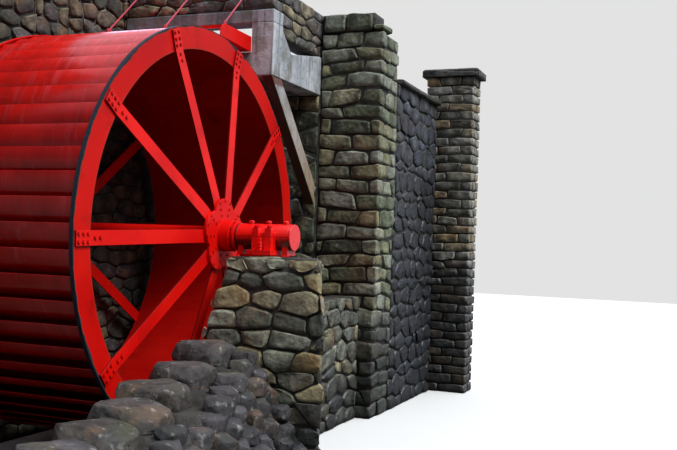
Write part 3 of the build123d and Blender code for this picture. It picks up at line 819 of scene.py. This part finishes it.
def eased(node, width, material, body, segments=2):
    """A CAD solid with its edges eased: a merged copy of its mesh, which stands for the node."""
    shape = bmesh.new()
    shape.from_mesh(nodes[node].data)
    bmesh.ops.remove_doubles(shape, verts=shape.verts, dist=1e-5)
    bmesh.ops.dissolve_limit(shape, angle_limit=level_edge, verts=shape.verts, edges=shape.edges)
    mesh = bpy.data.meshes.new(node + "_finished")
    shape.to_mesh(mesh)
    shape.free()
    if "custom_normal" in mesh.attributes:
        mesh.attributes.remove(mesh.attributes["custom_normal"])
    mesh.shade_smooth()
    piece = bpy.data.objects.new(node + "_finished", mesh)
    bpy.context.scene.collection.objects.link(piece)
    bevel = piece.modifiers.new("edges", "BEVEL")
    bevel.width = width
    bevel.segments = segments
    bevel.limit_method = "ANGLE"
    bevel.angle_limit = sharp_edge
    flat_faces = piece.modifiers.new("flat_faces", "WEIGHTED_NORMAL")
    flat_faces.weight = 100
    graph = bpy.context.evaluated_depsgraph_get()
    mesh = bpy.data.meshes.new_from_object(piece.evaluated_get(graph))
    piece.modifiers.clear()
    piece.data = mesh
    mesh.materials.clear()
    mesh.materials.append(material)
    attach(piece, body)
    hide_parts(node)
    return piece


board_width, shoe_height = 0.28, 0.12


def concrete_finish(name, dark, light, lime=0.8, rain=0.45, boards=0.0, strut=None, pale_from=None):
    """Cast concrete, from dark to light, with pale lime streaks, dark rain stains, pitting and board lines.
    It is paler outboard of pale_from. A strut, given by its lowest and highest corners, is ochre at its foot
    and rusty at its head, and its faces towards -y are dark brown, partly wet stain and partly painted shade
    under the flume."""
    material, tree, shader, place = surface(name)
    broad = speckle(tree, place, 1.6, 6.0)
    streak = speckle(tree, place, 1.0, 6.0, stretch=(3.4, 3.4, 0.45))
    drip = speckle(tree, place, 1.0, 5.0, stretch=(11.0, 11.0, 0.8))
    pits = speckle(tree, place, 60.0, 3.0)
    height = separate(tree, place)["Z"]
    colour = mixed(tree, spread(tree, broad, 0.35, 0.65), linear(*dark), linear(*light))
    if pale_from is not None:
        post = spread(tree, separate(tree, place)["X"], pale_from - 0.01, pale_from + 0.01)
        colour = mixed(tree, post, colour, linear(166, 173, 179))
    grime_and_edge_shade = speckle(tree, place, 13.0, 7.0)
    colour = mixed(tree, spread(tree, grime_and_edge_shade, 0.5, 0.7, 0.0, 0.5), colour, linear(92, 90, 90))
    colour = mixed(tree, spread(tree, streak, 0.5, 0.66, 0.0, lime), colour, linear(208, 208, 212))
    colour = mixed(tree, spread(tree, drip, 0.54, 0.7, 0.0, rain), colour, linear(78, 74, 74))
    moss = spread(tree, speckle(tree, place, 2.7, 7.0), 0.53, 0.64, 0.0, 0.5)
    colour = mixed(tree, moss, colour, linear(98, 92, 62))
    if strut:
        foot, head = strut[0].z, strut[1].z
        facing = separate(tree, tree.nodes.new("ShaderNodeNewGeometry").outputs["Normal"])
        colour = mixed(tree, spread(tree, height, foot, head, 0.85, 0.0), colour, linear(146, 116, 68))
        # Painted shade: faces towards -y turn dark brown, partly wet stain, partly shade under the flume.
        colour = mixed(tree, spread(tree, facing["Y"], -0.55, -0.3, 0.92, 0.0), colour, linear(70, 47, 31))
        shoe = spread(tree, height, head - shoe_height - 0.02, head - shoe_height + 0.02, 0.0, 0.85)
        colour = mixed(tree, shoe, colour, linear(98, 50, 38))
    tree.links.new(colour, shader.inputs["Base Color"])
    tree.links.new(spread(tree, pits, 0.3, 0.7, 0.75, 0.95), shader.inputs["Roughness"])
    line = spread(tree, sums(tree, "PINGPONG", height, board_width / 2), 0.0, 0.008, 0.0, boards)
    relief = sums(tree, "ADD", line, sums(tree, "ADD", pits, sums(tree, "MULTIPLY", broad, 2.0)))
    relief = sums(tree, "ADD", relief, sums(tree, "MULTIPLY", grime_and_edge_shade, 1.5))
    bump = add(tree, "ShaderNodeBump", {"Height": relief, "Strength": 0.8, "Distance": 0.009})
    tree.links.new(bump, shader.inputs["Normal"])
    return material


post_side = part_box("flume_side_wall")[0].x
lintel_concrete = concrete_finish(
    "lintel_concrete", (92, 104, 108), (120, 134, 142), lime=0.3, rain=0.6, boards=0.8, pale_from=post_side
)
wall_concrete = concrete_finish("wall_concrete", (150, 156, 161), (200, 204, 209), rain=0.6)
strut_concrete = concrete_finish(
    "strut_concrete", (140, 140, 142), (180, 180, 182), lime=0.5, strut=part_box("flume_brace")
)
for concrete_part, mix in (
    ("flume_floor", lintel_concrete), ("flume_lintel", lintel_concrete),
    ("flume_side_wall", wall_concrete), ("flume_brace", strut_concrete),
):
    eased(concrete_part, 0.012, mix, "masonry")
parapet_stone = fieldstone(
    "parapet_stone", [(86, 85, 81), (123, 115, 94), (103, 102, 102), (138, 126, 100)], ochre=0.35, moss=0.25
)
wall("flume_side_parapet", [node_planes("flume_side_parapet")], (0.5, 0.46, 0.22), parapet_stone,
     61, setback=0.02, sway=0.07, chip=0.02, scatter=0.3, bed=0.02)
front_masses = [box_planes(*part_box("flume_front_parapet"))]
wall("flume_front_parapet", front_masses, (0.42, 0.5, 0.26), parapet_stone,
     62, setback=0.02, sway=0.07, chip=0.02, scatter=0.3, bed=0.02)


# Chute and its rods
# A folded steel trough that leads from the flume's mouth out over the top of the wheel. Three round rods
# with a lug at each end hold up its free edge. One red gloss paint covers all the steel: it is scuffed and
# streaked with lime, painted darker under laps and ledges as painted shade, and gone from the outboard rim
# of the wheel.
rim_radius, ring_inner = 2.745, 2.448
lap_start, lap_end = 2.55, 2.715


def red_paint(name, streaks=0.0, rim=False, lap=0.0, edges=0.0, underside_shade=0.0, washer_shadow_and_rust=0.0, bare_end=None,
              tone=1.0, gloss=0.12, rough=0.34, faded=0.0):
    """Red paint. Rim bares the outer edge of a shroud. Painted shade darkens the paint under the bucket laps,
    on the bars' narrow sides and on what faces down, each by the strength given for it; the washers round the
    bolt heads are darkened for shadow and rust. The steel is bare up to bare_end on the axle."""
    material, tree, shader, place = surface(name)
    broad = speckle(tree, place, 1.1, 5.0)
    fine = speckle(tree, place, 26.0, 5.0)
    soil = speckle(tree, place, 3.3, 7.0)
    deep_red, full_red = linear(206 * tone, 8 * tone, 5 * tone), linear(228 * tone, 20 * tone, 10 * tone)
    colour = mixed(tree, spread(tree, broad, 0.35, 0.65), deep_red, full_red)
    colour = mixed(tree, spread(tree, soil, 0.56, 0.74, 0.0, 0.4), colour, linear(120 * tone, 10, 6))
    if faded:
        colour = mixed(tree, faded, colour, linear(206, 120, 140))
    parts = separate(tree, add(tree, "ShaderNodeVectorMath", {0: place, 1: axle}, operation="SUBTRACT"))
    radius = sums(tree, "SQRT", sums(tree, "ADD", sums(tree, "MULTIPLY", parts["Y"], parts["Y"]),
                                     sums(tree, "MULTIPLY", parts["Z"], parts["Z"])))
    facing = separate(tree, tree.nodes.new("ShaderNodeNewGeometry").outputs["Normal"])
    roughness = spread(tree, fine, 0.3, 0.7, rough, rough + 0.16)
    if streaks:
        bearing = sums(tree, "ARCTAN2", parts["Z"], parts["Y"])
        leaning = sums(tree, "MULTIPLY", bearing, 1.2)
        along = sums(tree, "ADD", sums(tree, "MULTIPLY", parts["X"], 6.5), leaning)
        slanted = add(tree, "ShaderNodeCombineXYZ", {
            0: along, 1: sums(tree, "MULTIPLY", bearing, 1.8), 2: sums(tree, "MULTIPLY", radius, 1.4),
        })
        chalk = speckle(tree, slanted, 1.7, 7.0)
        colour = mixed(tree, spread(tree, chalk, 0.54, 0.8, 0.0, streaks), colour, linear(244, 150, 170))
        dull = speckle(tree, slanted, 0.9, 5.0)
        colour = mixed(tree, spread(tree, dull, 0.42, 0.66, 0.0, 0.35), colour, linear(150, 6, 8))
    if lap:
        # Painted shade under each lap, darkest deep under the next lip.
        painted_lap_shade = spread(tree, radius, lap_start, lap_end, lap, 0.0)
        colour = mixed(tree, painted_lap_shade, colour, linear(70, 6, 6))
    if edges:
        # Painted shade on the bars' narrow sides.
        painted_side_shade = spread(tree, sums(tree, "ABSOLUTE", facing["X"]), 0.3, 0.6, edges, 0.0)
        colour = mixed(tree, painted_side_shade, colour, linear(40, 14, 10))
    if underside_shade:
        # Painted shade on what faces down.
        painted_underside_shade = spread(tree, facing["Z"], -0.35, 0.02, underside_shade, 0.0)
        colour = mixed(tree, painted_underside_shade, colour, linear(54, 14, 14))
    if washer_shadow_and_rust:
        # Painted shadow and rust on the washers round the bolt heads.
        add(tree, "ShaderNodeAttribute", attribute_name="seat")
        seat = tree.nodes[-1].outputs["Fac"]
        colour = mixed(tree, sums(tree, "MULTIPLY", seat, washer_shadow_and_rust), colour, linear(58, 8, 6))
    worn = None
    if rim:
        ragged = spread(tree, speckle(tree, place, 1.3, 3.0), 0.5, 0.72, 0.012, 0.05)
        frayed = speckle(tree, place, 9.0, 6.0)
        reach = sums(tree, "ADD", ragged, spread(tree, frayed, 0.3, 0.7, -0.008, 0.012))
        bared = sums(tree, "ADD", radius, reach)
        worn = sums(tree, "GREATER_THAN", bared, rim_radius)
        rust = spread(tree, bared, rim_radius - 0.012, rim_radius, 0.0, 0.8)
        colour = mixed(tree, rust, colour, linear(120, 60, 34))
        inner_side = sums(tree, "ADD", radius, spread(tree, frayed, 0.3, 0.7, -0.006, 0.006))
        inner_rust = spread(tree, inner_side, ring_inner + 0.004, ring_inner + 0.016, 0.6, 0.0)
        colour = mixed(tree, inner_rust, colour, linear(116, 56, 36))
    if bare_end is not None:
        frayed_end = sums(tree, "ADD", bare_end, spread(tree, soil, 0.3, 0.7, 0.0, 0.03))
        worn = sums(tree, "LESS_THAN", parts["X"], frayed_end)
    if worn is not None:
        colour = mixed(tree, worn, colour, mixed(tree, fine, linear(26, 29, 36), linear(54, 58, 68)))
        roughness = sums(tree, "ADD", roughness, sums(tree, "MULTIPLY", worn, 0.25))
    tree.links.new(colour, shader.inputs["Base Color"])
    tree.links.new(roughness, shader.inputs["Roughness"])
    shader.inputs["Specular IOR Level"].default_value = gloss
    relief = sums(tree, "ADD", fine, soil)
    bump = add(tree, "ShaderNodeBump", {"Height": relief, "Strength": 0.12, "Distance": 0.004})
    tree.links.new(bump, shader.inputs["Normal"])
    return material


steel_red = red_paint("steel_red")
rod_red = red_paint("rod_red", tone=0.74, faded=0.3)
eased("chute", 0.006, steel_red, "masonry")
for rod in ("chute_rod_near", "chute_rod_middle", "chute_rod_far"):
    eased(rod, 0.003, rod_red, "masonry")


# Bolts
# Hexagon heads on round washers. Each bolt is a point with the way that it faces, and one tree sets them all.
def bolt_tree():
    """A hexagon head on a round washer at each point, turned to face the point's way."""
    washer_width, washer_height, head_lift = 1.45, 0.3, 0.6
    tree = bpy.data.node_groups.new("bolt_heads", "GeometryNodeTree")
    face = tree.interface
    face.new_socket("Bolts", in_out="OUTPUT", socket_type="NodeSocketGeometry")
    face.new_socket("Places", in_out="INPUT", socket_type="NodeSocketGeometry")
    for name, kind in (("Head Radius", "Float"), ("Head Height", "Float"), ("Material", "Material")):
        face.new_socket(name, in_out="INPUT", socket_type="NodeSocket" + kind)
    given = tree.nodes.new("NodeGroupInput").outputs
    radius, height = given["Head Radius"], given["Head Height"]
    head = add(tree, "GeometryNodeMeshCylinder", {"Vertices": 6, "Radius": radius, "Depth": height})
    wide, thin = sums(tree, "MULTIPLY", radius, washer_width), sums(tree, "MULTIPLY", height, washer_height)
    washer = add(tree, "GeometryNodeMeshCylinder", {"Vertices": 12, "Radius": wide, "Depth": thin})
    washer = add(tree, "GeometryNodeStoreNamedAttribute", {"Geometry": washer, "Name": "seat", "Value": 1.0})
    lift = add(tree, "ShaderNodeCombineXYZ", {2: sums(tree, "MULTIPLY", height, head_lift)})
    head = add(tree, "GeometryNodeTransform", {"Geometry": head, "Translation": lift})
    bolt = tree.nodes.new("GeometryNodeJoinGeometry")
    tree.links.new(head, bolt.inputs[0])
    tree.links.new(washer, bolt.inputs[0])
    facing = add(tree, "GeometryNodeInputNamedAttribute", {"Name": "facing"}, data_type="FLOAT_VECTOR")
    turned = add(tree, "FunctionNodeAlignRotationToVector", {"Vector": facing}, axis="Z")
    placed = add(tree, "GeometryNodeInstanceOnPoints", {
        "Points": given["Places"], "Instance": bolt.outputs[0], "Rotation": turned
    })
    real = add(tree, "GeometryNodeRealizeInstances", {"Geometry": placed})
    done = add(tree, "GeometryNodeSetMaterial", {"Geometry": real, "Material": given["Material"]})
    tree.links.new(done, tree.nodes.new("NodeGroupOutput").inputs[0])
    return tree


bolt_heads = bolt_tree()
# The washers are painted dark: painted shadow under each head, with rust.
bolt_red = red_paint("bolt_red", washer_shadow_and_rust=0.85)


def bolts(name, places, head_radius, body):
    """A mesh of bolt heads; places pairs each point, from the axle, with the way that the bolt faces."""
    head_height = head_radius * 0.95
    mesh = bpy.data.meshes.new(name)
    mesh.from_pydata([tuple(axle + Vector(point)) for point, _ in places], [], [])
    facing = mesh.attributes.new("facing", "FLOAT_VECTOR", "POINT")
    facing.data.foreach_set("vector", [value for _, way in places for value in way])
    piece = bpy.data.objects.new(name, mesh)
    bpy.context.scene.collection.objects.link(piece)
    baked(piece, bolt_heads, {"Head Radius": head_radius, "Head Height": head_height, "Material": bolt_red})
    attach(piece, body)
    return piece


# Outer bearing
# A split steel shell round the axle's end, clamped down by four bolt columns on a foot plate, with a pad
# under each end and a flat cover over the axle. Three domed plugs close the grease holes along its top, and
# the shell's lip beside the hub is bare steel.
lip_end = 0.552
# What faces down on the shell, plugs and nuts is painted dark, as painted shade.
bearing_red = red_paint(
    "bearing_red", underside_shade=0.92, bare_end=lip_end, tone=1.09, gloss=0.6, rough=0.24
)
for bearing_part in ("bearing_base", "bearing_cap", "bearing_end_cover", "inner_bearing"):
    eased(bearing_part, 0.006, bearing_red, "masonry")
shell_radius, column_top, foot_top = 0.17, 0.11, -0.17
column_x, column_y, washer_seat = (0.875, 1.055), 0.2075, 0.002
column_bolts = [
    ((x, side * column_y, column_top + washer_seat), (0, 0, 1)) for x in column_x for side in (-1, 1)
]
bolts("bearing_bolts", column_bolts, 0.03, "masonry")


def turned_tree():
    """A stepped round or hexagon piece: each point is one ring, whose span is its radius and its height. The
    ring's top is drawn in to a crown."""
    crown_share = 0.72
    tree = bpy.data.node_groups.new("turned_stack", "GeometryNodeTree")
    face = tree.interface
    face.new_socket("Stacks", in_out="OUTPUT", socket_type="NodeSocketGeometry")
    face.new_socket("Places", in_out="INPUT", socket_type="NodeSocketGeometry")
    for name, kind in (("Sides", "Int"), ("Bevel", "Float"), ("Material", "Material")):
        face.new_socket(name, in_out="INPUT", socket_type="NodeSocket" + kind)
    given = tree.nodes.new("NodeGroupInput").outputs
    ring = add(tree, "GeometryNodeMeshCylinder", {"Vertices": given["Sides"], "Radius": 1.0, "Depth": 1.0})
    upward = separate(tree, add(tree, "GeometryNodeInputNormal"))["Z"]
    crown = sums(tree, "GREATER_THAN", upward, 0.9)
    narrow = add(
        tree, "GeometryNodeExtrudeMesh", {"Mesh": ring, "Selection": crown, "Offset Scale": given["Bevel"]}
    )
    top = tree.nodes[-1].outputs["Top"]
    crowned = add(
        tree, "GeometryNodeScaleElements", {"Geometry": narrow, "Selection": top, "Scale": crown_share}
    )
    span = add(tree, "GeometryNodeInputNamedAttribute", {"Name": "span"}, data_type="FLOAT_VECTOR")
    placed = add(
        tree, "GeometryNodeInstanceOnPoints", {"Points": given["Places"], "Instance": crowned, "Scale": span}
    )
    real = add(tree, "GeometryNodeRealizeInstances", {"Geometry": placed})
    done = add(tree, "GeometryNodeSetMaterial", {"Geometry": real, "Material": given["Material"]})
    tree.links.new(done, tree.nodes.new("NodeGroupOutput").inputs[0])
    return tree


turned_stack = turned_tree()


def turned(name, rings, sides, material, body):
    """Upright turned or hexagon pieces: each ring has its middle from the axle, its radius and its height."""
    mesh = bpy.data.meshes.new(name)
    mesh.from_pydata([tuple(axle + Vector(middle)) for middle, _, _ in rings], [], [])
    span = mesh.attributes.new("span", "FLOAT_VECTOR", "POINT")
    span.data.foreach_set("vector", [value for _, radius, tall in rings for value in (radius, radius, tall)])
    piece = bpy.data.objects.new(name, mesh)
    bpy.context.scene.collection.objects.link(piece)
    baked(piece, turned_stack, {"Sides": sides, "Bevel": 0.3, "Material": material})
    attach(piece, body)
    return piece


plug_places = (0.694, 0.945, 1.19)
neck_radius, neck_height, dome_radius, dome_height = 0.022, 0.02, 0.038, 0.022
plug_rings = []
for plug_x in plug_places:
    plug_rings.append(((plug_x, 0.0, shell_radius + 0.006), neck_radius, neck_height))
    plug_rings.append(((plug_x, 0.0, shell_radius + 0.022), dome_radius, dome_height))
turned("grease_plugs", plug_rings, 16, bearing_red, "masonry")
stud_x, stud_y, stud_radius, stud_height = 0.965, 0.27, 0.012, 0.13
nut_radius, nut_height, nut_lifts = 0.026, 0.022, (0.013, 0.049, 0.085)
stud_rings = []
for side in (-1, 1):
    stud_rings.append(((stud_x, side * stud_y, foot_top + stud_height / 2), stud_radius, stud_height))
    for lift in nut_lifts:
        stud_rings.append(((stud_x, side * stud_y, foot_top + lift), nut_radius, nut_height))
turned("foot_nuts", stud_rings, 6, bearing_red, "masonry")


# Hubs
# A five-lobed plate, bolted over the ends of two spokes at each lobe, on a barrel round the axle. Three bolts
# in line hold each spoke, one more holds the tip of each lobe, and eight hold the barrel's flange.
spoke_angles = [math.radians(2 + 36 * index) for index in range(10)]
lobe_angles = [math.radians(20 + 72 * index) for index in range(5)]
near_hub_face, far_hub_face, barrel_end = 0.30, -2.535, 0.46
line_radii, lobe_tip_radius, flange_radius = (0.275, 0.36, 0.445), 0.455, 0.18
for hub in ("near_hub", "far_hub", "axle"):
    eased(hub, 0.006, steel_red, "wheel")


def around_axle(x, radius, angle, aside=0.0):
    """A point by its distance from the axle, its angle, and how far it lies to the side of that line."""
    across, up = math.cos(angle), math.sin(angle)
    return (x, radius * across - aside * up, radius * up + aside * across)


hub_bolts = []
for face_x, way in ((near_hub_face, 1), (far_hub_face, -1)):
    for angle in spoke_angles:
        hub_bolts += [(around_axle(face_x, radius, angle), (way, 0, 0)) for radius in line_radii]
    hub_bolts += [(around_axle(face_x, lobe_tip_radius, angle), (way, 0, 0)) for angle in lobe_angles]
flange_angles = [math.radians(45 * index + 10) for index in range(8)]
hub_bolts += [(around_axle(barrel_end, flange_radius, angle), (1, 0, 0)) for angle in flange_angles]
bolts("hub_bolts", hub_bolts, 0.0125, "wheel")


# Spokes
# Flat steel bars laid on the shrouds and dished out to the hub plates. Six bolts hold each bar to the ring
# and two more follow in line; its narrow sides are painted dark, as painted shade.
spoke_red = red_paint("spoke_red", edges=0.8, gloss=0.15)
for bars in ("near_spokes", "far_spokes"):
    eased(bars, 0.003, spoke_red, "wheel", segments=1)
near_ring_face, far_ring_face, near_dish, far_dish = 0.0, -2.39, 0.23, 0.075
knee_radius, bar_thickness = 0.52, 0.025
pair_radii, pair_aside, single_radii = (2.675, 2.595, 2.515), 0.045, (2.40, 2.32)
spoke_bolts = []
for face_x, way, dish in ((near_ring_face, 1, near_dish), (far_ring_face, -1, far_dish)):
    bar_face = face_x + way * bar_thickness
    for angle in spoke_angles:
        for radius in pair_radii:
            for aside in (-pair_aside, pair_aside):
                spoke_bolts.append((around_axle(bar_face, radius, angle, aside), (way, 0, 0)))
        for radius in single_radii:
            rise_out = dish * (ring_inner - radius) / (ring_inner - knee_radius)
            place = around_axle(face_x + way * (bar_thickness + rise_out), radius, angle)
            spoke_bolts.append((place, (way, 0, 0)))
bolts("spoke_bolts", spoke_bolts, 0.017, "wheel")


# Shrouds
# Steel rings with a flange turned inward at the rim, whose paint has worn off along the outer edge.
rim_red = red_paint("rim_red", rim=True, tone=0.9, gloss=0.08)
for ring, paint in (("near_shroud", rim_red), ("far_shroud", steel_red)):
    nodes[ring].data.materials.clear()
    nodes[ring].data.materials.append(paint)


# Sole and buckets
# The sole closes the wheel behind the buckets, and its red is darker as painted shade inside the drum. Each
# bucket is a folded plate that laps over the next, with lime streaks across its face and painted shade under
# the lap.
# A darker red: painted shade inside the drum.
shaded_sole_red = red_paint("shaded_sole_red", tone=0.76)
bucket_red = red_paint("bucket_red", streaks=0.15, lap=0.9, tone=0.98, gloss=0.8, rough=0.1)
nodes["sole_plate"].data.materials.clear()
nodes["sole_plate"].data.materials.append(shaded_sole_red)
eased("buckets", 0.003, bucket_red, "wheel")
